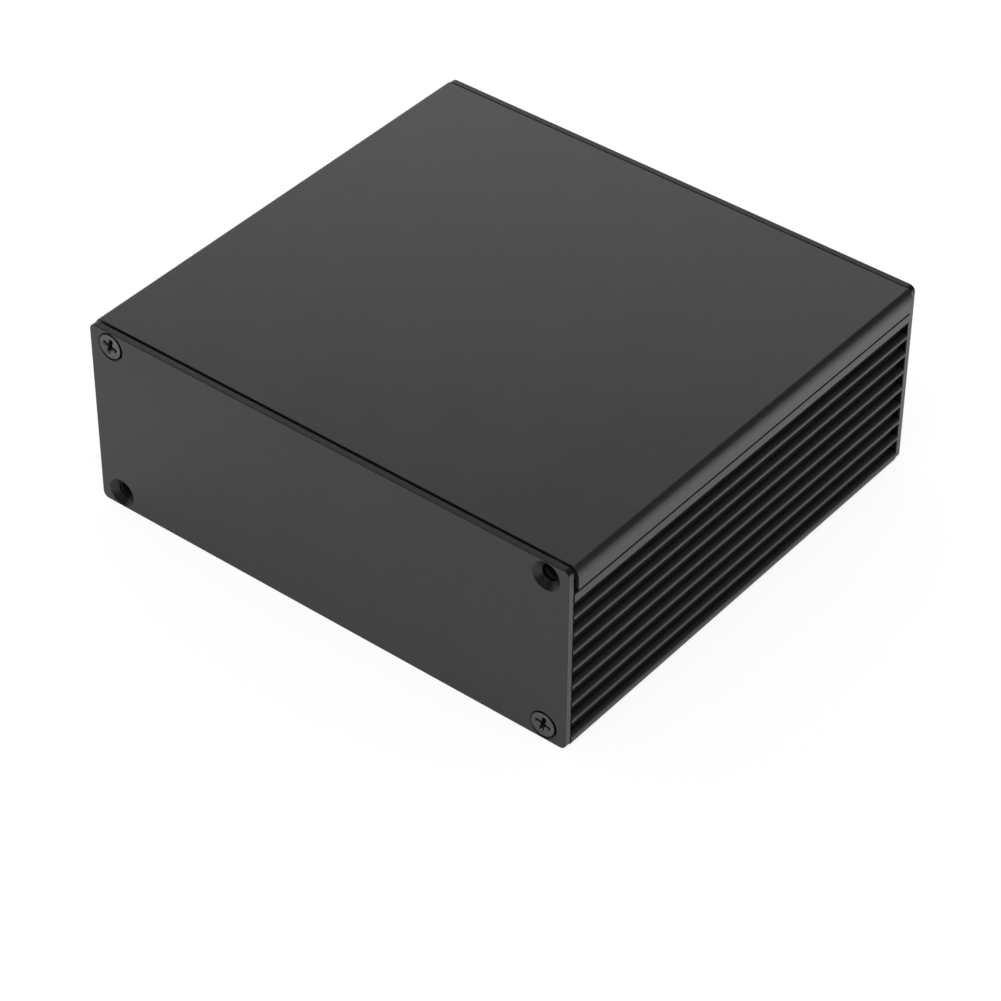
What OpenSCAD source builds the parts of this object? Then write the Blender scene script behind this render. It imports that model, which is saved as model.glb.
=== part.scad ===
// Split aluminium enclosure for a circuit board, in millimetres.
// A ribbed U-shaped shell is closed by a flat cover with two lips and by an end
// plate at each end. Countersunk screws pass through the plates and cut their
// thread in open channels along the corners of the two extrusions.
// X runs across the width, Y from the front plate to the rear plate and Z up.
// The origin is the middle of the underside.

/* [Extrusions] */
// Width over the ribbed sides
body_w = 110.5; // [80:0.5:150]
// Height from the underside to the top of the cover
body_h = 40.4; // [36:0.1:70]
// Length of the shell between the two end plates
body_len = 100; // [60:5:220]
// Radius of the long outer edges at the top and at the bottom
edge_r = 1.2; // [0.6:0.1:1.6]
// Thickness of the floor
floor_t = 2; // [1.6:0.1:2.4]
// Thickness of the side walls behind the grooves
side_t = 1.6; // [1.3:0.1:1.8]

/* [Cover] */
// Thickness of the cover's flat top
cover_t = 2; // [1.6:0.1:2.4]
// Height of the cover's lips, from the top of the cover to their lower edge
lip_h = 4.55; // [4:0.05:5]
// Thickness of the lips
lip_t = 1.5; // [1.2:0.1:1.6]
// Radius of the lips' lower outer edge
lip_edge_r = 0.3; // [0.1:0.05:0.5]
// Gap between a lip's lower edge and the strip under it
lip_gap = 0.3; // [0.15:0.05:0.6]
// Gap between the cover and the front plate, with the cover against the rear one
cover_end_gap = 0.45; // [0.1:0.05:0.8]
// Clearance between the cover and the tongues of the shell inside its lips
tongue_gap = 0.15; // [0.1:0.05:0.25]

/* [Ribbed sides] */
// Height of the flat strip under each lip
strip_h = 2.05; // [1.5:0.05:3]
// Thickness of a rib, whose tip is fully round
rib_t = 1.5; // [1.1:0.1:1.9]
// Depth of the grooves between the ribs
groove_d = 1.5; // [1.2:0.1:1.8]
// Distance from rib to rib, fitted to a whole number of grooves
rib_pitch = 4; // [3:0.1:6]
// Height of the solid flange at the foot of each side
flange_h = 3.15; // [2.8:0.05:5]

/* [End plates] */
// Thickness of an end plate
plate_t = 1.5; // [1.5:0.1:3]
// Distance of a plate's upright edges inside the ribbed sides
plate_inset = 0.6; // [0.4:0.05:1]
// Radius of a plate's corners
plate_corner_r = 1.3; // [0.6:0.1:2]

/* [Screws] */
// Distance from a plate's upright edge to a screw's axis
screw_in_x = 4.9; // [4.7:0.1:7]
// Distance from a plate's upper or lower edge to a screw's axis
screw_in_z = 3.2; // [3.1:0.1:4]
// Diameter of the plain hole through a plate
hole_d = 3.4; // [3.2:0.1:3.6]
// Diameter of a countersink at the plate's face
sink_d = 6; // [5.8:0.1:6]
// Diameter of a screw's head
head_d = 5; // [4.8:0.1:5.2]
// Depth of a screw's head under the plate's face
head_sunk = 0.2; // [0.05:0.05:0.25]
// Clearance between a head's cone and its countersink
head_gap = 0.03; // [0.02:0.01:0.04]
// Diameter of a screw's thread at its mean depth
thread_d = 2.9; // [2.85:0.05:3]
// Length of a screw from the top of its head to its tip
screw_l = 8; // [6:1:16]
// Span of the cross recess over two opposite arms
recess_span = 3.4; // [2.4:0.1:3.6]
// Width of an arm of the cross recess
recess_arm = 0.9; // [0.5:0.05:1]

/* [Screw channels] */
// Clearance between a screw's thread and its channel
channel_gap = 0.05; // [0.03:0.01:0.1]
// Wall of a channel
channel_wall = 1.1; // [0.8:0.1:1.3]
// Width of the slot along a channel
channel_slot = 1.2; // [0.8:0.1:1.4]

/* [Board guides] */
// Thickness of the circuit board that the guides take
board_t = 1.6; // [1:0.1:2]
// Clearance of the board in its guide
board_gap = 0.2; // [0.1:0.05:0.4]
// Height of the lowest board's middle above the underside
guide_low = 9; // [8.5:0.5:11]
// Distance from one board level to the next
guide_pitch = 9.5; // [6:0.5:14]
// Distance that a guide rib stands out of the side wall
guide_d = 1.8; // [1:0.1:2.2]
// Thickness of a guide rib
guide_t = 1.1; // [0.8:0.1:1.5]

/* [Hidden] */
$fn = 64;
// Overlap that joins shapes of one piece, and overrun of a cut past a face
joint = 0.05;
cut = 1;
half_w = body_w / 2;
groove_x = half_w - groove_d;
wall_x = groove_x - side_t;
tongue_x = half_w - lip_t - tongue_gap;
cover_under = body_h - cover_t;
strip_top = body_h - lip_h - lip_gap;
strip_low = strip_top - strip_h;
plate_w = body_w - 2 * plate_inset;
face_y = body_len / 2 + plate_t;
// Screw axes, and the channels that share them
screw_x = plate_w / 2 - screw_in_x;
screw_low_z = screw_in_z;
screw_high_z = body_h - screw_in_z;
channel_r = thread_d / 2 + channel_gap;
channel_out_r = channel_r + channel_wall;
// Ribs fill the height between the flange and the strip with equal grooves
rib_zone = strip_low - flange_h;
rib_count = max(1, round((rib_zone + rib_t) / rib_pitch) - 1);
rib_step = (rib_zone + rib_t) / (rib_count + 1);
// Board levels that fit under the cover's screw channels
guide_slot = board_t + board_gap;
guide_half = guide_slot / 2 + guide_t;
guide_room = screw_high_z - channel_out_r - guide_half - guide_low;
guide_count = floor(guide_room / guide_pitch) + 1;
// A head's cone is at 45 degrees, parallel to its countersink
sink_depth = (sink_d - hole_d) / 2;
rim_h = (sink_d - head_d) / 2 - head_sunk - head_gap;
cone_h = (head_d - thread_d) / 2;
tip_h = 1;
recess_deep = 1.7;

// Slab in section, from x0 to x1 and z0 to z1, with separate corner radii
module slab(x0, x1, z0, z1, r_low = 0, r_high = 0) {
    translate([x0, z0 + r_low])
        square([x1 - x0, z1 - z0 - r_low - r_high]);
    if (r_low > 0)
        slab_edge(x0, x1, z0 + r_low, r_low, z0);
    if (r_high > 0)
        slab_edge(x0, x1, z1 - r_high, r_high, z1 - r_high);
}

// Rounded edge of a slab, whose two corners have their centres at height zc
module slab_edge(x0, x1, zc, r, z_from) {
    translate([x0 + r, z_from])
        square([x1 - x0 - 2 * r, r]);
    for (x = [x0 + r, x1 - r])
        translate([x, zc])
            circle(r);
}

// Both sides of a section from the half at +X
module both_sides() {
    children();
    mirror([1, 0])
        children();
}

// A section drawn in X and Z, run along Y
module along_y(length) {
    rotate([90, 0, 0])
        linear_extrude(height = length, center = true)
            children();
}

// Bore and slot of a screw channel at height z, with the slot towards the middle
module channel_cut(z) {
    translate([screw_x, z])
        circle(channel_r);
    translate([screw_x - channel_out_r - cut, z - channel_slot / 2])
        square([channel_out_r + cut, channel_slot]);
}

// Wall of the cover's screw channel, cut flat beside the shell's tongue
module cover_channel_wall() {
    intersection() {
        translate([screw_x, screw_high_z])
            circle(channel_out_r);
        slab(0, wall_x - tongue_gap, 0, cover_under + joint);
    }
}

// Wall of the shell's screw channel, filled out to the corner
module shell_channel_wall() {
    translate([screw_x, screw_low_z])
        circle(channel_out_r);
    slab(screw_x, wall_x + joint, floor_t - joint, screw_low_z + channel_r);
}

// Two ribs that hold the edge of a circuit board between them
module board_guide(z) {
    for (low = [z - guide_half, z + guide_slot / 2])
        slab(wall_x - guide_d, wall_x + joint, low, low + guide_t);
}

// Cooling rib with a full-round tip
module cooling_rib(z) {
    slab(groove_x - joint, half_w - rib_t / 2, z, z + rib_t);
    translate([half_w - rib_t / 2, z + rib_t / 2])
        circle(rib_t / 2);
}

// Side of the shell: flange, wall, ribs, strip, tongue and board guides
module shell_side() {
    slab(wall_x, groove_x, floor_t, strip_top);
    for (i = [1 : rib_count])
        cooling_rib(flange_h - rib_t + i * rib_step);
    slab(wall_x, half_w, strip_low, strip_top, lip_edge_r, lip_edge_r);
    slab(wall_x, tongue_x, strip_low, cover_under);
    for (i = [0 : guide_count - 1])
        board_guide(guide_low + i * guide_pitch);
}

// Floor with the flanges, less the room above the floor
module shell_foot() {
    difference() {
        slab(-half_w, half_w, 0, flange_h, edge_r, rib_t / 2);
        slab(-wall_x, wall_x, floor_t, flange_h + cut);
    }
}

module shell_section() {
    difference() {
        union() {
            shell_foot();
            both_sides() {
                shell_side();
                shell_channel_wall();
            }
        }
        both_sides()
            channel_cut(screw_low_z);
    }
}

module cover_section() {
    difference() {
        union() {
            difference() {
                slab(-half_w, half_w, body_h - lip_h, body_h, lip_edge_r, edge_r);
                slab(lip_t - half_w, half_w - lip_t, 0, cover_under);
            }
            both_sides()
                cover_channel_wall();
        }
        both_sides()
            channel_cut(screw_high_z);
    }
}

// Countersunk hole through a plate, with its countersink at z = 0 and up
module countersunk_hole() {
    translate([0, 0, -plate_t - cut])
        cylinder(d = hole_d, h = plate_t + 2 * cut);
    translate([0, 0, -sink_depth])
        cylinder(d1 = hole_d, d2 = sink_d, h = sink_depth);
    cylinder(d = sink_d, h = cut);
}

// End plate with its outer face at z = 0, drawn in its own plane
module end_plate() {
    difference() {
        translate([0, 0, -plate_t])
            linear_extrude(height = plate_t)
                slab(-plate_w / 2, plate_w / 2, 0, body_h, plate_corner_r, plate_corner_r);
        for (x = [-screw_x, screw_x], z = [screw_low_z, screw_high_z])
            translate([x, z, 0])
                countersunk_hole();
    }
}

// Cross recess that narrows downwards from z = 0
module cross_recess() {
    intersection() {
        for (turn = [0, 90])
            rotate([0, 0, turn])
                translate([-recess_span / 2, -recess_arm / 2, -recess_deep])
                    cube([recess_span, recess_arm, recess_deep + cut]);
        translate([0, 0, -recess_deep])
            cylinder(d1 = recess_arm / 2, d2 = recess_span, h = recess_deep);
    }
    translate([0, 0, -joint])
        intersection() {
            cylinder(d = recess_span, h = cut);
            for (turn = [0, 90])
                rotate([0, 0, turn])
                    translate([-recess_span / 2, -recess_arm / 2, 0])
                        cube([recess_span, recess_arm, cut]);
        }
}

// Countersunk screw with the top of its head at z = 0 and its tip below
module screw() {
    difference() {
        union() {
            translate([0, 0, -rim_h])
                cylinder(d = head_d, h = rim_h);
            translate([0, 0, -rim_h - cone_h])
                cylinder(d1 = thread_d, d2 = head_d, h = cone_h);
            translate([0, 0, tip_h - screw_l])
                cylinder(d = thread_d, h = screw_l - tip_h - rim_h - cone_h);
            translate([0, 0, -screw_l])
                cylinder(d1 = thread_d / 2, d2 = thread_d, h = tip_h);
        }
        cross_recess();
    }
}

// What belongs to the front face, brought from z = 0 to the face's plane
module on_front_face(x = 0, z = 0, sunk = 0) {
    translate([x, sunk - face_y, z])
        rotate([90, 0, 0])
            children();
}

module front_screw(x, z) {
    color("dimgray")
        on_front_face(x, z, head_sunk)
            screw();
}

module bottom_shell() {
    color("dimgray")
        along_y(body_len)
            shell_section();
}

module top_cover() {
    color("gray")
        translate([0, cover_end_gap / 2, 0])
            along_y(body_len - cover_end_gap)
                cover_section();
}

module front_plate() {
    color("slategray")
        on_front_face()
            end_plate();
}

module rear_plate() {
    rotate([0, 0, 180])
        front_plate();
}

module front_screw_upper_left() {
    front_screw(-screw_x, screw_high_z);
}

module front_screw_lower_right() {
    front_screw(screw_x, screw_low_z);
}

module rear_screw_upper_left() {
    rotate([0, 0, 180])
        front_screw_upper_left();
}

module rear_screw_lower_right() {
    rotate([0, 0, 180])
        front_screw_lower_right();
}

bottom_shell();
top_cover();
front_plate();
rear_plate();
front_screw_upper_left();
front_screw_lower_right();
rear_screw_upper_left();
rear_screw_lower_right();
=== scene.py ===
"""Dresses the split aluminium enclosure.

Its pieces are the ribbed shell, the flat cover, two end plates and four screws.
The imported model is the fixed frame. Every visible node is stood for by a finer
mesh with broken edges, built here from the node's own box. Its sizes are those of
the solids, apart from the ribs and the strip over them, which stand further in and
lower, and from roundings. Sizes are in millimetres until a mesh is made, and then
in metres.
"""

from __future__ import annotations

import logging
import math
from dataclasses import dataclass, field
from enum import Enum

import bpy
from mathutils import Matrix, Vector
from mathutils.geometry import tessellate_polygon


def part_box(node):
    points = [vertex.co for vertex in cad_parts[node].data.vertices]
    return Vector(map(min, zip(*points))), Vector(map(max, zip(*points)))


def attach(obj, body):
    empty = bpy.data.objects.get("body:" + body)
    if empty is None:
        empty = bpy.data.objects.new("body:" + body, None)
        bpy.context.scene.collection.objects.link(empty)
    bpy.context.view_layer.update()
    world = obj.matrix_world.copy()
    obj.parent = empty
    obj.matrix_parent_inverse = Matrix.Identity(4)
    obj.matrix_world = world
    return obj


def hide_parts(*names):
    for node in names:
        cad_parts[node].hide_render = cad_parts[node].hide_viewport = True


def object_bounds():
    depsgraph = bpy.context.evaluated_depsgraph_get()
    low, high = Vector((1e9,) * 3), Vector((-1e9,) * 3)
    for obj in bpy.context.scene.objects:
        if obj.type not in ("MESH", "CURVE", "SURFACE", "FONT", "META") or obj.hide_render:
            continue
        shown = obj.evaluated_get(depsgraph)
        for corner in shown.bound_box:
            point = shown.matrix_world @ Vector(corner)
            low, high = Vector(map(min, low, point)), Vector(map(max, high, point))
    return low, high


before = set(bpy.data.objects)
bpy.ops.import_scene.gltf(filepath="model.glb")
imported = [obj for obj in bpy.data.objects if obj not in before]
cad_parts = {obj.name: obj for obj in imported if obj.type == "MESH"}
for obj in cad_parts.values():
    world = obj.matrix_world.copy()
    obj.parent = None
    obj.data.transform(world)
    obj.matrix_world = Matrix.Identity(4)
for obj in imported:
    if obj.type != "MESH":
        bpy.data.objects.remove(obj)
CAD_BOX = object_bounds()

MM = 0.001
# Points of an outline nearer than this, in millimetres, are one point
SAME_POINT = 0.002
# A corner that turns by less than this, in radians, isn't rounded
STRAIGHT = math.radians(1.0)
# Largest share of the shorter side beside a corner that its rounding takes
ROUNDING_SHARE = 0.999
# Length of a straight that only gives the corner before it a direction
RUN_OUT = 1.0
BODY = "root"
log = logging.getLogger("enclosure")

Colour = tuple[float, float, float]


class Slot(Enum):
    """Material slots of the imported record."""

    EXTRUSION = "anodised_extrusion"
    PLATE = "anodised_plate"
    SCREW = "black_screw"


class End(Enum):
    """Ends of the enclosure. The value says whether a piece is turned half round."""

    FRONT = False
    REAR = True

    def place(self, shape: Shape) -> Shape:
        """Returns a shape made for the front as it stands at this end."""
        return shape.turned() if self.value else shape


# --------------------------------------------------------------------------
# Outlines and shapes
# --------------------------------------------------------------------------


def unit(angle: float) -> Vector:
    """Returns the direction at an angle, in radians, in an outline's plane."""
    return Vector((math.cos(angle), math.sin(angle)))


@dataclass(frozen=True)
class Knot:
    """A corner to be rounded, or a fixed point of an arc with its own normal."""

    at: Vector
    radius: float = 0.0
    normal: Vector | None = None
    steps: int = 4


@dataclass(frozen=True)
class Station:
    """A finished point of an outline with its outward normal."""

    at: Vector
    normal: Vector


@dataclass
class Outline:
    """A closed outline that runs anticlockwise, with the material on its left.

    The plane is (across, up) for a section and for a plate's face.
    """

    knots: list[Knot] = field(default_factory=list)

    def corner(self, x: float, z: float, radius: float, steps: int = 4) -> None:
        """Adds a corner that is rounded to radius in the given number of steps."""
        self.knots.append(Knot(Vector((x, z)), radius, steps=steps))

    def arc(
        self,
        centre: tuple[float, float],
        radius: float,
        start: float,
        stop: float,
        edge: float,
        step: float = 9.0,
    ) -> None:
        """Adds an arc between two sharp ends, whose ends are rounded.

        Args:
            centre: Centre of the arc.
            radius: Radius of the arc.
            start: Angle of the first end, in degrees.
            stop: Angle of the last end; below start for a hollow arc.
            edge: Rounding of both ends.
            step: Largest angle between two points, in degrees.
        """
        count = max(2, math.ceil(abs(stop - start) / step))
        sign = 1.0 if stop > start else -1.0
        for i in range(count + 1):
            ray = unit(math.radians(start + (stop - start) * i / count))
            at = Vector(centre) + ray * radius
            if i in (0, count):
                self.knots.append(Knot(at, edge, steps=2))
            else:
                self.knots.append(Knot(at, normal=ray * sign))

    def mirrored(self) -> Outline:
        """Closes this half outline by its mirror image in X.

        Returns:
            The whole outline.
        """
        other = [
            Knot(
                Vector((-k.at.x, k.at.y)),
                k.radius,
                None if k.normal is None else Vector((-k.normal.x, k.normal.y)),
                k.steps,
            )
            for k in reversed(self.knots)
        ]
        return Outline(self.knots + other)

    def stations(self) -> list[Station]:
        """Rounds every corner.

        Returns:
            The outline's points, without any that coincide.
        """
        made: list[Station] = []
        count = len(self.knots)
        for i, knot in enumerate(self.knots):
            if knot.normal is not None:
                made.append(Station(knot.at, knot.normal))
                continue
            before = self.knots[i - 1].at
            after = self.knots[(i + 1) % count].at
            for station in self._rounded(before, knot, after):
                if not made or (station.at - made[-1].at).length > SAME_POINT:
                    made.append(station)
        return made

    @staticmethod
    def _rounded(before: Vector, knot: Knot, after: Vector) -> list[Station]:
        """Returns the points of one rounded corner.

        Args:
            before: Knot before the corner.
            knot: The corner.
            after: Knot after the corner.

        Returns:
            Stations along the rounding, from the first tangent point to the last.
        """
        into = (knot.at - before).normalized()
        away = (after - knot.at).normalized()
        turn = math.atan2(into.x * away.y - into.y * away.x, into.dot(away))
        if knot.radius == 0.0 or abs(turn) < STRAIGHT:
            return [Station(knot.at, Vector((into.y, -into.x)))]
        reach = knot.radius * math.tan(abs(turn) / 2)
        room = min((knot.at - before).length, (after - knot.at).length)
        radius = knot.radius * min(1.0, room * ROUNDING_SHARE / reach)
        reach = radius * math.tan(abs(turn) / 2)
        side = 1.0 if turn > 0 else -1.0
        first = knot.at - into * reach
        centre = first + Vector((-into.y, into.x)) * radius * side
        spoke = Vector((into.y, -into.x)) * side
        made = []
        for i in range(knot.steps + 1):
            angle = turn * i / knot.steps
            c, s = math.cos(angle), math.sin(angle)
            ray = Vector((spoke.x * c - spoke.y * s, spoke.x * s + spoke.y * c))
            made.append(Station(centre + ray * radius, ray * side))
        return made


@dataclass
class Shape:
    """Points with their own normals, and faces, gathered before a mesh is made."""

    points: list[Vector] = field(default_factory=list)
    normals: list[Vector] = field(default_factory=list)
    faces: list[tuple[int, ...]] = field(default_factory=list)

    def ring(self, points: list[Vector], normals: list[Vector]) -> list[int]:
        """Adds a ring of points.

        Args:
            points: Places, in millimetres.
            normals: Normals of the surface there.

        Returns:
            The indices of the points.
        """
        start = len(self.points)
        self.points.extend(points)
        self.normals.extend(normals)
        return list(range(start, len(self.points)))

    def bridge(self, near: list[int], far: list[int]) -> None:
        """Joins two rings with quads that face away from their axis.

        Args:
            near: The ring nearer to the front; the farther one for a hollow.
            far: The other ring.
        """
        count = len(near)
        for i in range(count):
            j = (i + 1) % count
            self.faces.append((near[i], far[i], far[j], near[j]))

    def join(self, rings: list[list[int]]) -> None:
        """Joins each ring with the next."""
        for near, far in zip(rings, rings[1:]):
            self.bridge(near, far)

    def cap(self, rings: list[list[int]], towards_front: bool) -> None:
        """Fills a flat face inside the first ring and outside the others.

        Args:
            rings: The outer ring, and then any holes.
            towards_front: Whether the face looks towards -Y.
        """
        order = [i for ring in rings for i in ring]
        flat = [
            [Vector((self.points[i].x, self.points[i].z, 0.0)) for i in ring]
            for ring in rings
        ]
        for triangle in tessellate_polygon(flat):
            a, b, c = (order[i] for i in triangle)
            pa, pb, pc = self.points[a], self.points[b], self.points[c]
            facing_front = (pb - pa).cross(pc - pa).y < 0
            self.faces.append((a, b, c) if facing_front == towards_front else (a, c, b))

    def circle(
        self,
        centre: tuple[float, float, float],
        radius: float,
        facing: tuple[float, float],
        count: int,
    ) -> list[int]:
        """Adds a circle about an axis along Y.

        Args:
            centre: Middle of the circle.
            radius: Radius of the circle.
            facing: Normal of the surface there, away from the axis and along Y.
            count: Number of points.

        Returns:
            The indices of the points.
        """
        x, y, z = centre
        points, normals = [], []
        for i in range(count):
            angle = math.tau * i / count
            c, s = math.cos(angle), math.sin(angle)
            points.append(Vector((x + radius * c, y, z + radius * s)))
            normals.append(Vector((facing[0] * c, facing[1], facing[0] * s)))
        return self.ring(points, normals)

    def outline_ring(
        self, stations: list[Station], y: float, inset: float, lean: float
    ) -> list[int]:
        """Adds an outline as a ring at one place along Y.

        Args:
            stations: The outline.
            y: Place along Y.
            inset: Distance that the ring lies inside the outline.
            lean: Angle of its normals towards +Y, in radians.

        Returns:
            The indices of the points.
        """
        c, s = math.cos(lean), math.sin(lean)
        points = [
            Vector((p.at.x - p.normal.x * inset, y, p.at.y - p.normal.y * inset))
            for p in stations
        ]
        normals = [Vector((p.normal.x * c, s, p.normal.y * c)) for p in stations]
        return self.ring(points, normals)

    def wall(
        self, stations: list[Station], y0: float, y1: float, edge: float, steps: int
    ) -> tuple[list[int], list[int]]:
        """Runs an outline along Y and rounds the edges of its two open ends.

        Args:
            stations: The outline.
            y0: Place of the front end.
            y1: Place of the rear end.
            edge: Radius of the end edges.
            steps: Steps of each rounding.

        Returns:
            The rings that the front and the rear face fill.
        """
        angles = [math.pi / 2 * i / steps for i in range(steps + 1)]
        rings = []
        for end, sign, turns in ((y0, 1, reversed(angles)), (y1, -1, angles)):
            for angle in turns:
                y = end + sign * edge * (1 - math.sin(angle))
                inset = edge * (1 - math.cos(angle))
                rings.append(self.outline_ring(stations, y, inset, -sign * angle))
        self.join(rings)
        return rings[0], rings[-1]

    def turned(self) -> Shape:
        """Returns the shape turned half round about Z."""
        return Shape(
            [Vector((-p.x, -p.y, p.z)) for p in self.points],
            [Vector((-n.x, -n.y, n.z)) for n in self.normals],
            list(self.faces),
        )

    def to_object(self, name: str) -> bpy.types.Object:
        """Makes a mesh of the shape, in metres, and puts it in the scene.

        Args:
            name: Name of the object.

        Returns:
            The new object.
        """
        mesh = bpy.data.meshes.new(name)
        mesh.from_pydata([p * MM for p in self.points], [], self.faces)
        mesh.validate()
        mesh.shade_smooth()
        if len(mesh.vertices) == len(self.normals):
            mesh.normals_split_custom_set_from_vertices(
                [n.normalized() for n in self.normals]
            )
        piece = bpy.data.objects.new(name, mesh)
        bpy.context.scene.collection.objects.link(piece)
        return piece


def box_mm(node: str) -> tuple[Vector, Vector]:
    """Returns a node's lowest and highest corner in millimetres."""
    low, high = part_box(node)
    return low / MM, high / MM


def screw_axis(node: str) -> tuple[float, float]:
    """Returns the place across and up of a screw's axis, in millimetres."""
    low, high = box_mm(node)
    return (low.x + high.x) / 2, (low.z + high.z) / 2


def extruded(section: Outline, node: str, edge: float) -> Shape:
    """Runs a section along a node's length and closes it with flat ends.

    Args:
        section: The section.
        node: The node that gives the two ends.
        edge: Radius of the end edges.

    Returns:
        The closed shape.
    """
    low, high = box_mm(node)
    shape = Shape()
    front, rear = shape.wall(section.stations(), low.y, high.y, edge, steps=3)
    shape.cap([front], towards_front=True)
    shape.cap([rear], towards_front=False)
    return shape


# --------------------------------------------------------------------------
# Finishes
# --------------------------------------------------------------------------


class NodeSheet:
    """Places shader nodes in a tree and links them in one line each."""

    def __init__(self, tree: bpy.types.NodeTree) -> None:
        """Starts on a node tree."""
        self.tree = tree

    def add(self, kind: str, **settings: object) -> bpy.types.Node:
        """Adds a node and sets its properties and its named inputs.

        Args:
            kind: Blender's type name of the node.
            **settings: Properties of the node, or a dict of inputs as inputs=.

        Returns:
            The node.
        """
        node = self.tree.nodes.new(kind)
        inputs = settings.pop("inputs", {})
        for key, value in settings.items():
            setattr(node, key, value)
        for key, value in inputs.items():
            if isinstance(value, bpy.types.NodeSocket):
                self.tree.links.new(value, node.inputs[key])
            else:
                node.inputs[key].default_value = value
        return node

    def math(self, operation: str, a: object, b: object = 0.0) -> bpy.types.NodeSocket:
        """Returns the result of a Math node on two numbers or sockets."""
        return self.add(
            "ShaderNodeMath", operation=operation, inputs={0: a, 1: b}
        ).outputs[0]

    def weighted(self, *terms: tuple[object, float]) -> bpy.types.NodeSocket:
        """Adds up values by their weights.

        Args:
            *terms: Pairs of a number or socket and its weight.

        Returns:
            The sum's socket.
        """
        parts = [self.math("MULTIPLY", value, weight) for value, weight in terms]
        total = parts[0]
        for part in parts[1:]:
            total = self.math("ADD", total, part)
        return total

    def place(self) -> bpy.types.NodeSocket:
        """Returns the place on the object, in metres."""
        return self.add("ShaderNodeTexCoord").outputs["Object"]

    def send(self, value: bpy.types.NodeSocket, to: bpy.types.NodeSocket) -> None:
        """Links a value to a socket."""
        self.tree.links.new(value, to)

    def noise(
        self, vector: object, scale: float, detail: float, roughness: float = 0.5
    ) -> bpy.types.NodeSocket:
        """Returns the value of a noise texture."""
        return self.add(
            "ShaderNodeTexNoise",
            inputs={
                "Vector": vector,
                "Scale": scale,
                "Detail": detail,
                "Roughness": roughness,
            },
        ).outputs[0]

    def spread(
        self, value: object, low: float, high: float, to_low: float, to_high: float
    ) -> bpy.types.NodeSocket:
        """Returns value brought from one range to another, and held there."""
        return self.add(
            "ShaderNodeMapRange",
            inputs={0: value, 1: low, 2: high, 3: to_low, 4: to_high},
        ).outputs[0]


def new_group(
    name: str, inputs: dict[str, float], outputs: list[str]
) -> tuple[bpy.types.NodeTree, NodeSheet, bpy.types.Node, bpy.types.Node]:
    """Makes a shader node group with number sockets.

    Args:
        name: Name of the group.
        inputs: Input names with their default values.
        outputs: Output names.

    Returns:
        The group, a sheet on it, and its input and output nodes.
    """
    tree = bpy.data.node_groups.new(name, "ShaderNodeTree")
    for label, value in inputs.items():
        socket = tree.interface.new_socket(
            label, in_out="INPUT", socket_type="NodeSocketFloat"
        )
        socket.default_value = value
    for label in outputs:
        tree.interface.new_socket(label, in_out="OUTPUT", socket_type="NodeSocketFloat")
    sheet = NodeSheet(tree)
    return tree, sheet, sheet.add("NodeGroupInput"), sheet.add("NodeGroupOutput")


def blasted_grain() -> bpy.types.NodeTree:
    """Makes the grain of a bead-blasted surface.

    Returns:
        A group with inputs Scale, and outputs Height and Tone around 0.5.
    """
    tree, sheet, given, out = new_group(
        "blasted grain", {"Scale": 1.0}, ["Height", "Tone"]
    )
    scaled = sheet.add(
        "ShaderNodeVectorMath",
        operation="SCALE",
        inputs={0: sheet.place(), "Scale": given.outputs["Scale"]},
    ).outputs[0]
    coarse = sheet.noise(scaled, scale=2200.0, detail=3.0, roughness=0.6)
    fine = sheet.noise(scaled, scale=6500.0, detail=2.0)
    pits = sheet.add(
        "ShaderNodeTexVoronoi",
        feature="F1",
        inputs={"Vector": scaled, "Scale": 2600.0, "Randomness": 1.0},
    ).outputs["Distance"]
    height = sheet.weighted((coarse, 0.55), (fine, 0.45), (pits, 0.35))
    sheet.send(height, out.inputs["Height"])
    sheet.send(sheet.spread(coarse, 0.25, 0.75, 0.0, 1.0), out.inputs["Tone"])
    return tree


def dye_mottle() -> bpy.types.NodeTree:
    """Makes the slow unevenness of a dyed anodic layer.

    Returns:
        A group with outputs Tone and Gloss around 0.5.
    """
    tree, sheet, _, out = new_group("dye mottle", {}, ["Tone", "Gloss"])
    place = sheet.place()
    cloud = sheet.noise(place, scale=55.0, detail=4.0, roughness=0.6)
    patch = sheet.noise(place, scale=260.0, detail=3.0, roughness=0.55)
    mixed = sheet.weighted((cloud, 0.6), (patch, 0.4))
    sheet.send(sheet.spread(mixed, 0.3, 0.7, 0.0, 1.0), out.inputs["Tone"])
    sheet.send(sheet.spread(cloud, 0.3, 0.7, 0.0, 1.0), out.inputs["Gloss"])
    return tree


def drawn_lines() -> bpy.types.NodeTree:
    """Makes the faint lines that an extrusion die leaves along Y.

    Returns:
        A group with the output Lines around 0.5.
    """
    tree, sheet, _, out = new_group("drawn lines", {}, ["Lines"])
    stretched = sheet.add(
        "ShaderNodeMapping",
        inputs={"Vector": sheet.place(), "Scale": (1.0, 0.012, 1.0)},
    ).outputs[0]
    lines = sheet.noise(stretched, scale=1500.0, detail=3.0, roughness=0.6)
    sheet.send(sheet.spread(lines, 0.3, 0.7, 0.0, 1.0), out.inputs["Lines"])
    return tree


# Part of a face's normal along an axis, from which the painted light and shade of
# a facing begins and at which it is full. A slope's painted light and shade begins,
# and ends again before a face's begins.
FACE_SHADING_BAND = (0.9, 0.98)
FLANK_SHADING_BAND = (0.85, 0.97)
SLOPE_SHADING_BEGINS = (0.1, 0.4)
SLOPE_SHADING_ENDS = (0.75, 0.9)


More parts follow.
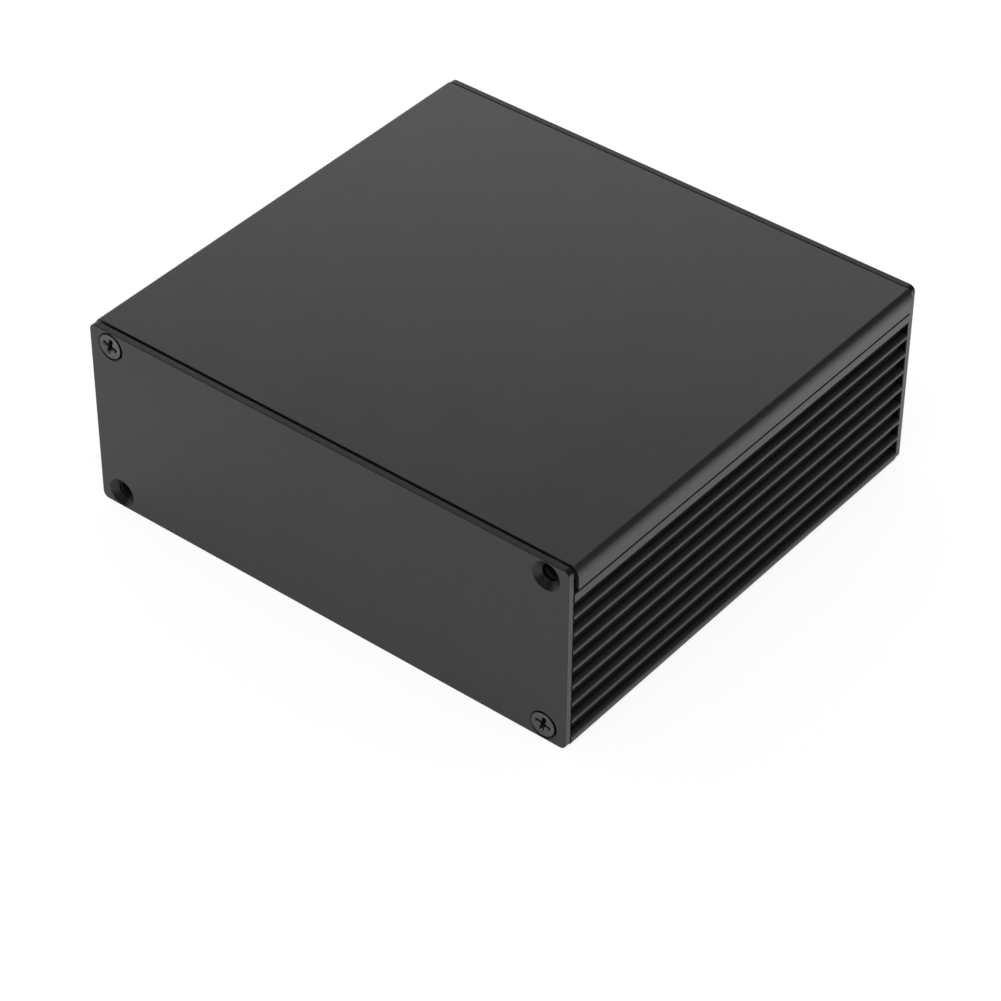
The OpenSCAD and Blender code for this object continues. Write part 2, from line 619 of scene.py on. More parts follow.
@dataclass(frozen=True)
class MetalFinish:
    """A satin black finish on metal.

    Attributes:
        name: Name of the material.
        dark: Colour where the dye is deepest.
        light: Colour where it is thinnest.
        roughness: Mean roughness.
        roughness_swing: Change of roughness over the mottle.
        specular: Specular level of the layer.
        grain_scale: Scale of the blasted grain.
        grain_depth: Depth of the grain in metres.
        grain_tone: Share of the grain in the colour.
        line_tone: Share of the drawn lines in the colour.
        metallic: Share of bare metal in the reflection.
        face_painted_shading: Colour factor of painted light and shade on faces that look
            along the case.
        slope_painted_shading: Colour factor of painted light and shade on faces that slope
            to it.
        flank_painted_shading: Colour factor of painted light and shade on faces that look
            across it.
    """

    name: str
    dark: Colour
    light: Colour
    roughness: float
    roughness_swing: float = 0.02
    specular: float = 0.5
    grain_scale: float = 1.0
    grain_depth: float = 0.00001
    grain_tone: float = 0.5
    line_tone: float = 0.0
    metallic: float = 0.0
    face_painted_shading: float = 1.0
    slope_painted_shading: float = 1.0
    flank_painted_shading: float = 1.0

    def _painted_shading(self, sheet: NodeSheet) -> bpy.types.NodeSocket:
        """Adds the painted light and shade that goes with the way a face looks.

        Args:
            sheet: The material's nodes.

        Returns:
            The factor's socket.
        """
        place = sheet.add("ShaderNodeTexCoord")
        parts = sheet.add(
            "ShaderNodeSeparateXYZ", inputs={"Vector": place.outputs["Normal"]}
        )
        along = sheet.math("ABSOLUTE", parts.outputs["Y"])
        across = sheet.math("ABSOLUTE", parts.outputs["X"])
        face = sheet.spread(along, *FACE_SHADING_BAND, 1.0, self.face_painted_shading)
        flank = sheet.spread(across, *FLANK_SHADING_BAND, 0.0, self.flank_painted_shading - 1.0)
        slope = sheet.math(
            "MULTIPLY",
            sheet.spread(along, *SLOPE_SHADING_BEGINS, 0.0, 1.0),
            sheet.spread(along, *SLOPE_SHADING_ENDS, self.slope_painted_shading - 1.0, 0.0),
        )
        return sheet.math("ADD", face, sheet.math("ADD", flank, slope))

    def material(self, groups: dict[str, bpy.types.NodeTree]) -> bpy.types.Material:
        """Makes the material.

        Args:
            groups: The shared node groups by name.

        Returns:
            The material.
        """
        made = bpy.data.materials.new(self.name)
        made.use_nodes = True
        tree = made.node_tree
        tree.nodes.clear()
        sheet = NodeSheet(tree)
        grain = sheet.add("ShaderNodeGroup", node_tree=groups["grain"])
        grain.inputs["Scale"].default_value = self.grain_scale
        mottle = sheet.add("ShaderNodeGroup", node_tree=groups["mottle"])
        terms = [
            (grain.outputs["Tone"], self.grain_tone),
            (mottle.outputs["Tone"], 1.0 - self.grain_tone - self.line_tone),
        ]
        if self.line_tone > 0.0:
            lines = sheet.add("ShaderNodeGroup", node_tree=groups["lines"])
            terms.append((lines.outputs["Lines"], self.line_tone))
        tone = sheet.weighted(*terms)
        colour = sheet.add(
            "ShaderNodeMix",
            data_type="RGBA",
            inputs={0: tone, 6: (*self.dark, 1.0), 7: (*self.light, 1.0)},
        ).outputs[2]
        # The colour is scaled by painted light and shade that goes with the way each face
        # looks.
        colour = sheet.add(
            "ShaderNodeVectorMath",
            operation="SCALE",
            inputs={0: colour, "Scale": self._painted_shading(sheet)},
        ).outputs[0]
        rough = sheet.spread(
            mottle.outputs["Gloss"],
            0.0,
            1.0,
            self.roughness - self.roughness_swing,
            self.roughness + self.roughness_swing,
        )
        bump = sheet.add(
            "ShaderNodeBump",
            inputs={
                "Strength": 1.0,
                "Distance": self.grain_depth,
                "Height": grain.outputs["Height"],
            },
        )
        shader = sheet.add(
            "ShaderNodeBsdfPrincipled",
            inputs={
                "Base Color": colour,
                "Roughness": rough,
                "Normal": bump.outputs[0],
                "Metallic": self.metallic,
                "Specular IOR Level": self.specular,
            },
        )
        sheet.add("ShaderNodeOutputMaterial", inputs={"Surface": shader.outputs[0]})
        made.diffuse_color = (*self.light, 1.0)
        return made


class Finishes:
    """All finishes of the enclosure, each made once."""

    EXTRUSION = MetalFinish(
        name="satin black anodised extrusion",
        dark=(0.057, 0.057, 0.058),
        light=(0.074, 0.074, 0.075),
        roughness=0.36,
        line_tone=0.15,
        metallic=0.84,
        # Painted shade darkens the sawn ends of both extrusions.
        face_painted_shading=0.8,
    )
    PLATE = MetalFinish(
        name="satin black anodised plate",
        dark=(0.039, 0.039, 0.040),
        light=(0.050, 0.050, 0.051),
        roughness=0.38,
        grain_scale=0.9,
        metallic=0.9,
        # Painted shade darkens the sloping faces, the countersinks among them, and painted
        # light brightens the side edges.
        slope_painted_shading=0.8,
        flank_painted_shading=1.7,
    )
    SCREW = MetalFinish(
        name="black oxide screw",
        dark=(0.012, 0.012, 0.013),
        light=(0.026, 0.026, 0.028),
        roughness=0.32,
        specular=0.6,
        grain_scale=1.3,
        grain_depth=0.000004,
        grain_tone=0.3,
        # Painted shade darkens the screw's sloping faces, such as the head's cone, and the
        # faces that look across.
        slope_painted_shading=0.25,
        flank_painted_shading=0.4,
    )

    def __init__(self) -> None:
        """Makes the shared groups and the materials."""
        groups = {
            "grain": blasted_grain(),
            "mottle": dye_mottle(),
            "lines": drawn_lines(),
        }
        self.by_slot = {
            Slot.EXTRUSION: self.EXTRUSION.material(groups),
            Slot.PLATE: self.PLATE.material(groups),
            Slot.SCREW: self.SCREW.material(groups),
        }

    def dressed(
        self, shape: Shape, name: str, slot: Slot, node: str
    ) -> bpy.types.Object:
        """Makes a piece with its finish, its body and the node that it stands for.

        Args:
            shape: Shape of the piece.
            name: Name of the piece.
            slot: Its slot in the record.
            node: The CAD node that it stands for.

        Returns:
            The new piece.
        """
        piece = shape.to_object(name)
        piece.data.materials.append(self.by_slot[slot])
        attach(piece, BODY)
        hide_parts(node)
        return piece


# --------------------------------------------------------------------------
# Sub-assemblies
# --------------------------------------------------------------------------


@dataclass
class ScrewChannel:
    """An open channel along a corner, in which a screw cuts its thread."""

    bore_r: float = 1.5
    outer_r: float = 2.6
    slot_w: float = 1.2
    edge: float = 0.15

    def angle(self, height: float, radius: float) -> float:
        """Returns the angle whose height over the axis is height, in degrees."""
        return math.degrees(math.asin(height / radius))

    def add_bore(self, outline: Outline, x: float, z: float) -> None:
        """Adds the slot's upper side, the bore and the slot's lower side."""
        mouth = self.angle(self.slot_w / 2, self.bore_r)
        outline.arc((x, z), self.bore_r, 180 - mouth, mouth - 180, self.edge)

    def add_outside(
        self, outline: Outline, x: float, z: float, start: float, stop: float
    ) -> None:
        """Adds a part of the channel's outside, between two angles in degrees."""
        outline.arc((x, z), self.outer_r, start, stop, self.edge)

    def mouth_angle(self) -> float:
        """Returns the angle of the slot's side at the channel's outside."""
        return self.angle(self.slot_w / 2, self.outer_r)


@dataclass
class RibbedShell:
    """The U-shaped lower extrusion with ribbed sides.

    Attributes:
        setback: How far the ribs and the strip stand in from the box's side.
        drop: How much lower the ribs and the strip stand than in the solid.
        tip_rise: Rise of a rib's lower side, and strip_rise of the strip's.
        lip_gap: Gap that the solid has between the strip and the cover's lip.
    """

    floor_t: float = 2.0
    side_t: float = 1.6
    groove_d: float = 1.5
    rib_t: float = 1.5
    rib_pitch: float = 4.0
    flange_h: float = 2.5
    strip_h: float = 2.05
    lip_h: float = 4.55
    lip_gap: float = 0.3
    lip_t: float = 1.5
    lip_edge_r: float = 0.15
    strip_edge_r: float = 0.15
    strip_rise: float = 0.2
    setback: float = 0.45
    drop: float = 0.65
    tip_rise: float = 0.4
    tip_low_r: float = 0.15
    tip_top_r: float = 0.9
    tongue_gap: float = 0.15
    edge_r: float = 1.2
    root_r: float = 0.18
    small_r: float = 0.15
    end_edge: float = 0.06
    guide_heights: tuple[float, ...] = (9.0, 18.5, 28.0)
    guide_d: float = 1.8
    guide_t: float = 1.1
    guide_slot: float = 1.8
    guide_edge_r: float = 0.3
    channel: ScrewChannel = field(default_factory=ScrewChannel)

    def section(self) -> Outline:
        """Draws the shell's section.

        Returns:
            The whole outline.
        """
        low, high = box_mm("bottom_shell")
        cover_top = box_mm("top_cover")[1].z
        half_w = high.x
        wall_x = half_w - self.groove_d - self.side_t
        tongue_x = half_w - self.lip_t - self.tongue_gap
        tip_x = half_w - self.setback
        groove_x = tip_x - self.groove_d
        strip_top = cover_top - self.lip_h - self.lip_gap - self.drop
        strip_root = strip_top - self.strip_h
        half = Outline()
        half.corner(tip_x, low.z, self.edge_r, steps=10)
        half.corner(tip_x, self.flange_h, self.tip_top_r, steps=9)
        half.corner(groove_x, self.flange_h, self.root_r)
        self._add_ribs(half, tip_x, groove_x, strip_root)
        half.corner(groove_x, strip_root, self.root_r)
        half.corner(tip_x, strip_root + self.strip_rise, self.strip_edge_r, steps=6)
        half.corner(tip_x, strip_top, self.lip_edge_r, steps=5)
        half.corner(tongue_x, strip_top, self.small_r)
        half.corner(tongue_x, high.z, self.small_r)
        half.corner(wall_x, high.z, self.small_r)
        self._add_guides(half, wall_x)
        self._add_channel(half, wall_x)
        return half.mirrored()

    def _add_ribs(
        self, half: Outline, tip_x: float, root_x: float, strip_low: float
    ) -> None:
        """Adds the cooling ribs from the flange up to the strip.

        Args:
            half: Outline of the right half.
            tip_x: Place of the ribs' tips across.
            root_x: Place of the grooves' bottoms across.
            strip_low: Height of the strip's lower side.
        """
        zone = strip_low - self.flange_h + self.rib_t
        count = max(1, round(zone / self.rib_pitch) - 1)
        step = zone / (count + 1)
        for i in range(1, count + 1):
            z = self.flange_h - self.rib_t + i * step
            half.corner(root_x, z, self.root_r)
            half.corner(tip_x, z + self.tip_rise, self.tip_low_r, steps=6)
            half.corner(tip_x, z + self.rib_t, self.tip_top_r, steps=9)
            half.corner(root_x, z + self.rib_t, self.root_r)

    def _add_guides(self, half: Outline, wall_x: float) -> None:
        """Adds the board guides down the inner face of the side wall.

        Args:
            half: Outline of the right half.
            wall_x: Place of the inner face across.
        """
        guide_x = wall_x - self.guide_d
        for z in reversed(self.guide_heights):
            for low in (
                z + self.guide_slot / 2,
                z - self.guide_slot / 2 - self.guide_t,
            ):
                half.corner(wall_x, low + self.guide_t, self.small_r)
                half.corner(guide_x, low + self.guide_t, self.guide_edge_r)
                half.corner(guide_x, low, self.guide_edge_r)
                half.corner(wall_x, low, self.small_r)

    def _add_channel(self, half: Outline, wall_x: float) -> None:
        """Adds the screw channel in the lower corner and the floor's top.

        Args:
            half: Outline of the right half.
            wall_x: Place of the side wall's inner face across.
        """
        channel = self.channel
        x, z = screw_axis("front_screw_lower_right")
        fill = z + channel.bore_r
        half.corner(wall_x, fill, self.small_r)
        mouth = channel.mouth_angle()
        start = channel.angle(channel.bore_r, channel.outer_r)
        channel.add_outside(half, x, z, start, 180 - mouth)
        channel.add_bore(half, x, z)
        stop = 180 + channel.angle(z - self.floor_t, channel.outer_r)
        channel.add_outside(half, x, z, 180 + mouth, stop)

    def build(self, finishes: Finishes) -> bpy.types.Object:
        """Builds the shell and dresses it."""
        shape = extruded(self.section(), "bottom_shell", self.end_edge)
        return finishes.dressed(shape, "ribbed_shell", Slot.EXTRUSION, "bottom_shell")


@dataclass
class FlatCover:
    """The flat top extrusion with a lip along each side.

    Attributes:
        edge_r: Radius of the shoulder where it meets the top.
        ease_r: Larger radius by which the side runs into it.
        ease_turn: Turn of that easing, in degrees.
    """

    cover_t: float = 2.0
    lip_h: float = 4.55
    lip_t: float = 1.5
    lip_edge_r: float = 0.15
    edge_r: float = 0.6
    ease_r: float = 2.9
    ease_turn: float = 48.0
    ease_steps: int = 8
    edge_steps: int = 12
    root_r: float = 0.18
    small_r: float = 0.15
    end_edge: float = 0.06
    channel_side_x: float = 52.0
    channel: ScrewChannel = field(default_factory=ScrewChannel)

    def section(self) -> Outline:
        """Draws the cover's section.

        Returns:
            The whole outline.
        """
        high = box_mm("top_cover")[1]
        half_w = high.x
        under = high.z - self.cover_t
        lip_low = high.z - self.lip_h
        channel = self.channel
        x, z = screw_axis("front_screw_upper_left")
        x = abs(x)
        mouth = channel.mouth_angle()
        half = Outline()
        start = 180 - channel.angle(under - z, channel.outer_r)
        channel.add_outside(half, x, z, start, 180 - mouth)
        channel.add_bore(half, x, z)
        reach = self.channel_side_x - x
        stop = 360 - math.degrees(math.acos(reach / channel.outer_r))
        channel.add_outside(half, x, z, 180 + mouth, stop)
        half.corner(self.channel_side_x, under, self.root_r)
        half.corner(half_w - self.lip_t, under, self.root_r)
        half.corner(half_w - self.lip_t, lip_low, self.small_r)
        half.corner(half_w, lip_low, self.lip_edge_r, steps=6)
        self._add_shoulder(half, half_w, high.z)
        return half.mirrored()

    def _add_shoulder(self, half: Outline, half_w: float, top: float) -> None:
        """Adds the shoulder between side and top, eased into the flat side.

        Args:
            half: Outline of the right half.
            half_w: Place of the side across.
            top: Height of the top.
        """
        ease = math.radians(self.ease_turn)
        rest = math.pi / 2 - ease
        drop = self.edge_r + (self.ease_r - self.edge_r) * math.sin(ease)
        centre = Vector((half_w - self.ease_r, top - drop))
        for i in range(self.ease_steps + 1):
            ray = unit(ease * i / self.ease_steps)
            half.knots.append(Knot(centre + ray * self.ease_r, normal=ray))
        centre += ray * (self.ease_r - self.edge_r)
        for i in range(1, self.edge_steps + 1):
            ray = unit(ease + rest * i / self.edge_steps)
            half.knots.append(Knot(centre + ray * self.edge_r, normal=ray))

    def build(self, finishes: Finishes) -> bpy.types.Object:
        """Builds the cover and dresses it."""
        shape = extruded(self.section(), "top_cover", self.end_edge)
        return finishes.dressed(shape, "flat_cover", Slot.EXTRUSION, "top_cover")


@dataclass
class EndPlate:
    """An end plate with four countersunk holes.

    Attributes:
        seat_gap: Gap between the plate and the extrusions.
        land: Length of a hole's straight part, behind its countersink.
    """

    end: End
    node: str
    name: str
    corner_r: float = 1.3
    edge: float = 0.14
    seat_gap: float = 0.15
    hole_d: float = 3.4
    sink_d: float = 6.0
    land: float = 0.2
    hole_edge: float = 0.08
    segments: int = 72

    def _hole_profile(self, face_y: float, back_y: float) -> list[Station]:
        """Draws a hole's profile.

        Args:
            face_y: Place of the plate's face.
            back_y: Place of its back.

        Returns:
            Points as (radius, y) from the face to the back.
        """
        sink_r, hole_r = self.sink_d / 2, self.hole_d / 2
        depth = back_y - face_y - self.land
        path = Outline()
        path.corner(sink_r + RUN_OUT, back_y, 0.0)
        path.corner(hole_r, back_y, self.hole_edge, steps=3)
        path.corner(hole_r, face_y + depth, self.hole_edge, steps=3)
        path.corner(sink_r, face_y, self.hole_edge, steps=3)
        path.corner(sink_r + RUN_OUT, face_y, 0.0)
        return path.stations()[-2:0:-1]

    def shape(self) -> Shape:
        """Makes the plate's shape as it stands at the front.

        Returns:
            The closed shape.
        """
        low, high = box_mm("front_plate")
        back_y = high.y - self.seat_gap
        face = Outline()
        for x, z in (
            (low.x, low.z), (high.x, low.z), (high.x, high.z), (low.x, high.z)
        ):
            face.corner(x, z, self.corner_r, steps=10)
        made = Shape()
        front, back = made.wall(face.stations(), low.y, back_y, self.edge, steps=4)
        fronts, backs = [front], [back]
        profile = self._hole_profile(low.y, back_y)
        x_axis, z_low = screw_axis("front_screw_lower_right")
        z_high = screw_axis("front_screw_upper_left")[1]
        for x in (-x_axis, x_axis):
            for z in (z_low, z_high):
                rings = [
                    made.circle((x, s.at.y, z), s.at.x, tuple(s.normal), self.segments)
                    for s in profile
                ]
                for near, far in zip(rings, rings[1:]):
                    made.bridge(far, near)
                fronts.append(rings[0])
                backs.append(rings[-1])
        made.cap(fronts, towards_front=True)
        made.cap(backs, towards_front=False)
        return made

    def build(self, finishes: Finishes) -> bpy.types.Object:
        """Builds the plate and dresses it."""
        shape = self.end.place(self.shape())
        return finishes.dressed(shape, self.name, Slot.PLATE, self.node)


@dataclass
class CountersunkScrew:
    """A countersunk screw with a cross recess and a cut thread.

    Attributes:
        turn: Turn of the recess, in degrees.
        raised: How far the head stands in front of the node's own.
        lean: How far the head stands off the hole's axis, across and up.
        thread_land: Share of the pitch that is flat at the thread's root, and
            thread_flank the share over which it rises.
        thread_lean: Lean of the normals along the thread's flanks.
        thread_end: Share of its height that the thread keeps at its end.
        recess_arm_r: Rounding of the recess's arms, and recess_arm_share the
            largest share of an arm's width that it takes.
        tip_taper: Share of the root's radius that the tip loses.
    """

    end: End
    node: str
    name: str
    turn: float
    head_d: float = 5.0
    thread_crest_d: float = 2.95
    thread_root_d: float = 2.45
    thread_pitch: float = 0.5
    thread_rows: int = 8
    thread_land: float = 0.12
    thread_flank: float = 0.7
    thread_lean: float = 0.8
    thread_end: float = 0.15
    rim_h: float = 0.1
    rim_r: float = 0.06
    rim_low_r: float = 0.03
    neck_r: float = 0.15
    raised: float = 0.1
    lean: tuple[float, float] = (-0.2, -0.1)
    tip_h: float = 1.0
    tip_step: float = 0.02
    tip_taper: float = 0.5
    tip_chamfer: float = 0.06
    recess_span: float = 3.4
    recess_arm: float = 0.9
    recess_deep: float = 1.7
    recess_root_r: float = 0.1
    recess_arm_r: float = 0.3
    recess_arm_share: float = 0.4
    recess_flare: float = 0.12
    segments: int = 64

    def _cross(
        self, span: float, arm: float, turn: float, edge: float
    ) -> list[Station]:
        """Returns the outline of the recess at one depth.

        Args:
            span: Span over two opposite arms.
            arm: Width of an arm.
            turn: Angle of the first arm, in radians.
            edge: Rounding of the arms' outer corners.

        Returns:
            Stations anticlockwise about the screw's axis.
        """
        tip, side = span / 2, arm / 2
        outline = Outline()
        for quarter in range(4):
            c = math.cos(turn + quarter * math.pi / 2)
            s = math.sin(turn + quarter * math.pi / 2)
            for u, v, r in (
                (tip, -side, edge),
                (tip, side, edge),
                (side, side, self.recess_root_r),
            ):
                outline.corner(u * c - v * s, u * s + v * c, r, steps=3)
        return outline.stations()

    def _add_recess(self, made: Shape, x: float, y: float, z: float) -> list[int]:
        """Adds the recess, which narrows in steps.

        Args:
            made: Shape that takes the recess.
            x: Place of its axis across.
            y: Place of the head's top.
            z: Height of its axis.

        Returns:
            The ring of its mouth in the head's top.
        """
        turn = math.radians(self.turn)
        wide, arm, flare = self.recess_span, self.recess_arm, self.recess_flare
        # Depth, span, width of an arm, and lean of the wall's normals towards -Y
        levels = (
            (0.0, wide + flare, arm + flare, -1.3),
            (0.05, wide, arm, -0.5),
            (0.6, wide * 0.86, arm * 0.93, -0.2),
            (1.2, wide * 0.66, arm * 0.84, -0.3),
            (self.recess_deep, wide * 0.34, arm * 0.6, -0.9),
        )
        rings = []
        for depth, span, arm, lean in levels:
            edge = min(self.recess_arm_r, arm * self.recess_arm_share)
            stations = self._cross(span, arm, turn, edge)
            c, s = math.cos(lean), math.sin(lean)
            points = [Vector((x + p.at.x, y + depth, z + p.at.y)) for p in stations]
            normals = [Vector((-p.normal.x * c, s, -p.normal.y * c)) for p in stations]
            rings.append(made.ring(points, normals))
        for near, far in zip(rings, rings[1:]):
            made.bridge(far, near)
        made.cap([rings[-1]], towards_front=True)
        return rings[0]

    def _add_thread(
        self, made: Shape, x: float, z: float, y0: float, y1: float, start: list[int]
    ) -> list[int]:
        """Adds the threaded shank and returns its last ring.

        Args:
            made: Shape that takes the thread.
            x: Place of the axis across.
            z: Height of the axis.
            y0: Start of the thread.
            y1: End of the thread, where the tip begins.
            start: Ring of the head that the thread joins.

        Returns:
            The last ring.
        """
        root, crest = self.thread_root_d / 2, self.thread_crest_d / 2
        turn_rows = self.thread_rows
        rows = int((y1 - y0) / self.thread_pitch * turn_rows)
        last = start
        for row in range(1, rows + 1):
            y = y0 + (y1 - y0) * row / rows
            left = (rows - row) / turn_rows + self.thread_end
            fade = min(1.0, row / turn_rows, left)
            points, normals = [], []
            for i in range(self.segments):
                angle = math.tau * i / self.segments
                phase = (y / self.thread_pitch + i / self.segments) % 1.0
                wave = 1.0 - abs(2.0 * phase - 1.0)
                slope = (1.0 if phase < 0.5 else -1.0) * fade
                rise = (wave - self.thread_land) / self.thread_flank
                ridge = min(1.0, max(0.0, rise))
                radius = root + (crest - root) * ridge * fade
                c, s = math.cos(angle), math.sin(angle)
                points.append(Vector((x + radius * c, y, z + radius * s)))
                normals.append(Vector((c, -self.thread_lean * slope, s)))
            ring = made.ring(points, normals)
            made.bridge(last, ring)
            last = ring
        return last

    def _add_head(
        self, made: Shape, x: float, y: float, z: float
    ) -> tuple[list[int], float]:
        """Adds the head with its recess, down to the neck.

        Args:
            made: Shape that takes the head.
            x: Place of the hole's axis across.
            y: Place of the head's top.
            z: Height of the hole's axis.

        Returns:
            The last ring, and its place along Y.
        """
        head_r, root = self.head_d / 2, self.thread_root_d / 2
        neck = y + self.rim_h + head_r - root
        profile = Outline()
        profile.corner(0.0, y, 0.0)
        profile.corner(head_r, y, self.rim_r)
        profile.corner(head_r, y + self.rim_h, self.rim_low_r, steps=2)
        profile.corner(root, neck, self.neck_r, steps=3)
        profile.corner(root, neck + RUN_OUT, 0.0)
        stations = profile.stations()[1:-1]
        rings = []
        for s in stations:
            share = min(1.0, max(0.0, (neck - s.at.y) / (neck - y)))
            at = (x + self.lean[0] * share, s.at.y, z + self.lean[1] * share)
            rings.append(made.circle(at, s.at.x, tuple(s.normal), self.segments))
        made.join(rings)
        mouth = self._add_recess(made, x + self.lean[0], y, z + self.lean[1])
        made.cap([rings[0], mouth], towards_front=True)
        return rings[-1], stations[-1].at.y

    def _add_tip(
        self, made: Shape, x: float, z: float, end_y: float, start: list[int]
    ) -> None:
        """Adds the tapered tip.

        Args:
            made: Shape that takes the tip.
            x: Place of the axis across.
            z: Height of the axis.
            end_y: Place of the screw's end.
            start: Last ring of the thread.
        """
        root = self.thread_root_d / 2
        first_y = end_y - self.tip_h + self.tip_step
        rings = [start]
        # Share of the tip's length, and lean of the normals towards +Y
        for share, lean in ((0.0, 0.4), (0.8, 0.5), (0.95, 0.9)):
            radius = root * (1 - self.tip_taper * share)
            y = first_y + (self.tip_h - self.tip_step) * share
            facing = (math.cos(lean), math.sin(lean))
            rings.append(made.circle((x, y, z), radius, facing, self.segments))
        radius = root * self.tip_taper - self.tip_chamfer
        rings.append(made.circle((x, end_y, z), radius, (0.0, 1.0), self.segments))
        made.join(rings)
        made.cap([rings[-1]], towards_front=False)

    def shape(self) -> Shape:
        """Makes the screw's shape as it stands at the front.

        Returns:
            The closed shape.
        """
        front_node = self.node.replace("rear", "front")
        low, high = box_mm(front_node)
        x, z = screw_axis(front_node)
        made = Shape()
        neck, neck_y = self._add_head(made, x, low.y - self.raised, z)
        thread = self._add_thread(made, x, z, neck_y, high.y - self.tip_h, neck)
        self._add_tip(made, x, z, high.y, thread)
        return made

    def build(self, finishes: Finishes) -> bpy.types.Object:
        """Builds the screw and dresses it."""
        shape = self.end.place(self.shape())
        return finishes.dressed(shape, self.name, Slot.SCREW, self.node)


# --------------------------------------------------------------------------
# Studio
# --------------------------------------------------------------------------


def direction(azimuth: float, elevation: float) -> Vector:
    """Returns the direction of a place seen from the object.

    Args:
        azimuth: 0 in front and 90 at the right, in degrees.
        elevation: Height over the horizon, in degrees.

    Returns:
        A vector of length 1.
    """
    az, el = math.radians(azimuth), math.radians(elevation)
    flat = math.cos(el)
    return Vector((math.sin(az) * flat, -math.cos(az) * flat, math.sin(el)))


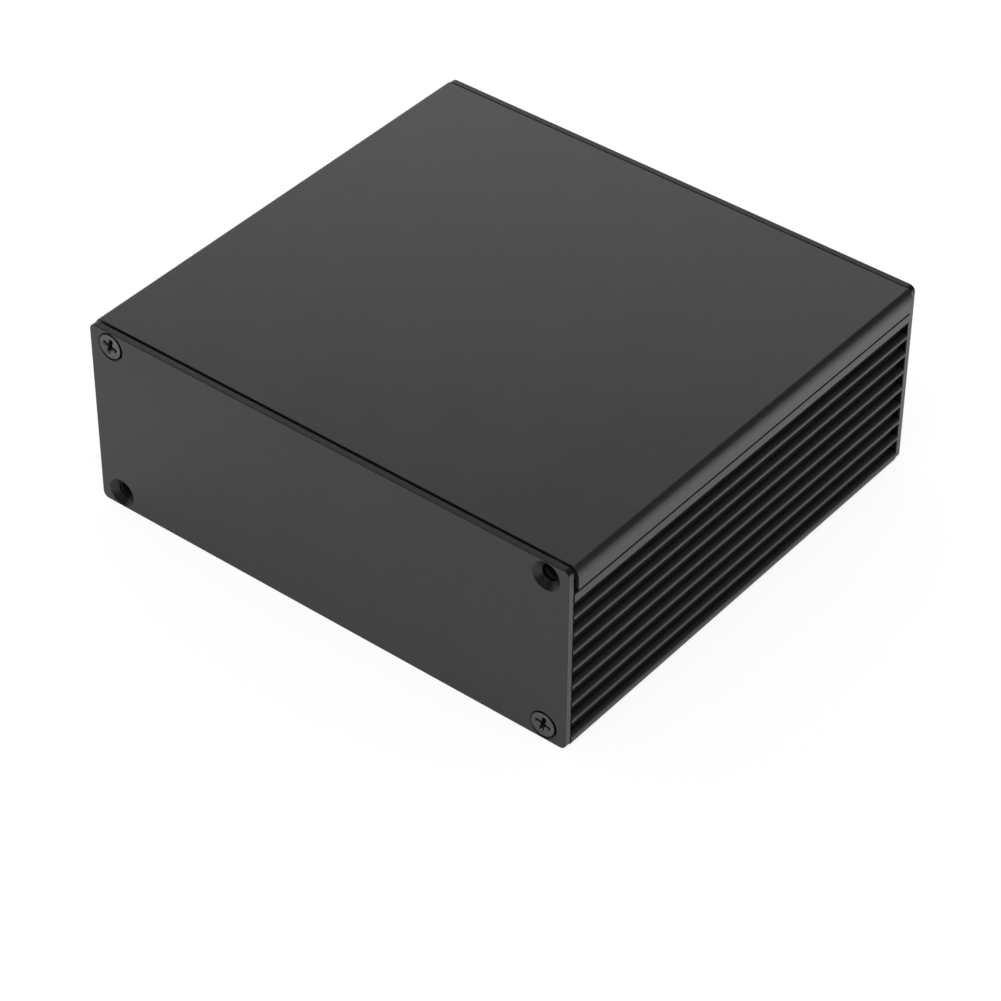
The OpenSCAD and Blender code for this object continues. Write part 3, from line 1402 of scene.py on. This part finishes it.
@dataclass
class Studio:
    """Camera, lamps, floor and world.

    Attributes:
        floor_gap: Gap between the floor and the object, in metres.
        floor_glow: Share of plain white in the floor as the camera sees it.
        floor_sheen: Share of plain white in it as glossy surfaces see it.
        world_dim: Strength of the world as reflections see it.
        world_fill: Strength that it has besides as soft light.
    """

    azimuth: float = 38.4431
    elevation: float = 39.8579
    roll: float = 0.3902
    lens: float = 130.0134
    sensor: float = 36.0
    clip: tuple[float, float] = (0.01, 20.0)
    camera_at: tuple[float, float, float] = (326.0396, -411.8368, 432.6191)
    floor_size: float = 6.0
    floor_gap: float = 0.00005
    floor_glow: float = 0.86
    floor_sheen: float = 0.1
    world_dim: float = 0.04
    world_fill: float = 0.75

    def camera(self) -> None:
        """Makes the scene's camera."""
        az, roll = math.radians(self.azimuth), math.radians(self.roll)
        back = direction(self.azimuth, self.elevation)
        right = Vector((math.cos(az), math.sin(az), 0.0))
        up = back.cross(right)
        x_axis = right * math.cos(roll) + up * math.sin(roll)
        y_axis = up * math.cos(roll) - right * math.sin(roll)
        data = bpy.data.cameras.new("camera")
        data.lens = self.lens
        data.sensor_width = self.sensor
        data.clip_start, data.clip_end = self.clip
        eye = bpy.data.objects.new("camera", data)
        turn = Matrix((x_axis, y_axis, back)).transposed().to_4x4()
        eye.matrix_world = Matrix.Translation(Vector(self.camera_at) * MM) @ turn
        bpy.context.scene.collection.objects.link(eye)
        bpy.context.scene.camera = eye

    def lamp(
        self,
        name: str,
        azimuth: float,
        elevation: float,
        distance: float,
        size: tuple[float, float],
        power: float,
    ) -> None:
        """Makes an area lamp that looks at the object.

        Args:
            name: Name of the lamp.
            azimuth: Direction, 0 in front and 90 at the right, in degrees.
            elevation: Height over the horizon, in degrees.
            distance: Distance from the object, in metres.
            size: Width and height, in metres.
            power: Power, in watts.
        """
        data = bpy.data.lights.new(name, "AREA")
        data.shape = "RECTANGLE"
        data.size, data.size_y = size
        data.energy = power
        ray = direction(azimuth, elevation)
        lamp = bpy.data.objects.new(name, data)
        lamp.location = ray * distance
        lamp.rotation_mode = "QUATERNION"
        lamp.rotation_quaternion = ray.to_track_quat("Z", "Y")
        bpy.context.scene.collection.objects.link(lamp)

    def floor(self) -> None:
        """Makes the pale floor that takes the shadow."""
        half = self.floor_size / 2
        mesh = bpy.data.meshes.new("floor")
        z = CAD_BOX[0].z - self.floor_gap
        mesh.from_pydata(
            [(-half, -half, z), (half, -half, z), (half, half, z), (-half, half, z)],
            [],
            [(0, 1, 2, 3)],
        )
        floor = bpy.data.objects.new("floor", mesh)
        bpy.context.scene.collection.objects.link(floor)
        material = bpy.data.materials.new("pale floor")
        material.use_nodes = True
        tree = material.node_tree
        tree.nodes.clear()
        sheet = NodeSheet(tree)
        speck = sheet.noise(sheet.place(), scale=40.0, detail=2.0)
        colour = sheet.add(
            "ShaderNodeMix",
            data_type="RGBA",
            inputs={0: speck, 6: (0.88, 0.88, 0.88, 1.0), 7: (0.9, 0.9, 0.9, 1.0)},
        ).outputs[2]
        matt = sheet.add("ShaderNodeBsdfDiffuse", inputs={"Color": colour})
        ray = sheet.add("ShaderNodeLightPath")
        glow = sheet.add(
            "ShaderNodeEmission",
            inputs={"Color": (1.0, 1.0, 1.0, 1.0), "Strength": 1.0},
        )
        share = sheet.weighted(
            (ray.outputs["Is Camera Ray"], self.floor_glow),
            (ray.outputs["Is Glossy Ray"], self.floor_sheen),
        )
        mix = sheet.add(
            "ShaderNodeMixShader",
            inputs={0: share, 1: matt.outputs[0], 2: glow.outputs[0]},
        )
        sheet.add("ShaderNodeOutputMaterial", inputs={"Surface": mix.outputs[0]})
        mesh.materials.append(material)

    def world(self) -> None:
        """Makes the world: white behind the object, and grey as a light."""
        world = bpy.data.worlds.new("studio")
        bpy.context.scene.world = world
        world.use_nodes = True
        tree = world.node_tree
        tree.nodes.clear()
        sheet = NodeSheet(tree)
        ray = sheet.add("ShaderNodeLightPath")
        strength = sheet.math(
            "ADD",
            sheet.spread(ray.outputs["Is Camera Ray"], 0.0, 1.0, self.world_dim, 1.0),
            sheet.math("MULTIPLY", ray.outputs["Is Diffuse Ray"], self.world_fill),
        )
        back = sheet.add(
            "ShaderNodeBackground",
            inputs={"Color": (1.0, 1.0, 1.0, 1.0), "Strength": strength},
        )
        sheet.add("ShaderNodeOutputWorld", inputs={"Surface": back.outputs[0]})

    def build(self) -> None:
        """Sets up the whole studio."""
        self.camera()
        self.floor()
        self.world()
        self.lamp("top_softbox", 25.0, 66.0, 1.6, (0.8, 0.8), 12.0)
        self.lamp("back_softbox", -141.0, 24.0, 1.6, (1.8, 0.7), 7.0)
        self.lamp("left_softbox", -80.0, 20.0, 1.6, (0.7, 0.6), 5.0)
        settings = bpy.context.scene.view_settings
        settings.view_transform = "Standard"


# --------------------------------------------------------------------------
# The whole enclosure
# --------------------------------------------------------------------------


def main() -> None:
    """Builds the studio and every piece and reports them."""
    logging.basicConfig(level=logging.INFO, format="%(name)s: %(message)s")
    Studio().build()
    finishes = Finishes()
    parts = [
        RibbedShell(),
        FlatCover(),
        EndPlate(End.FRONT, "front_plate", "front_end_plate"),
        EndPlate(End.REAR, "rear_plate", "rear_end_plate"),
    ]
    for end, corner, turn in (
        (End.FRONT, "upper_left", -15.0),
        (End.FRONT, "lower_right", -13.0),
        (End.REAR, "upper_left", 33.0),
        (End.REAR, "lower_right", 8.0),
    ):
        side = end.name.lower()
        node, name = f"{side}_screw_{corner}", f"screw_{side}_{corner}"
        parts.append(CountersunkScrew(end, node, name, turn))
    for part in parts:
        piece = part.build(finishes)
        log.info("%s, %d faces", piece.name, len(piece.data.polygons))


if __name__ == "__main__":
    main()
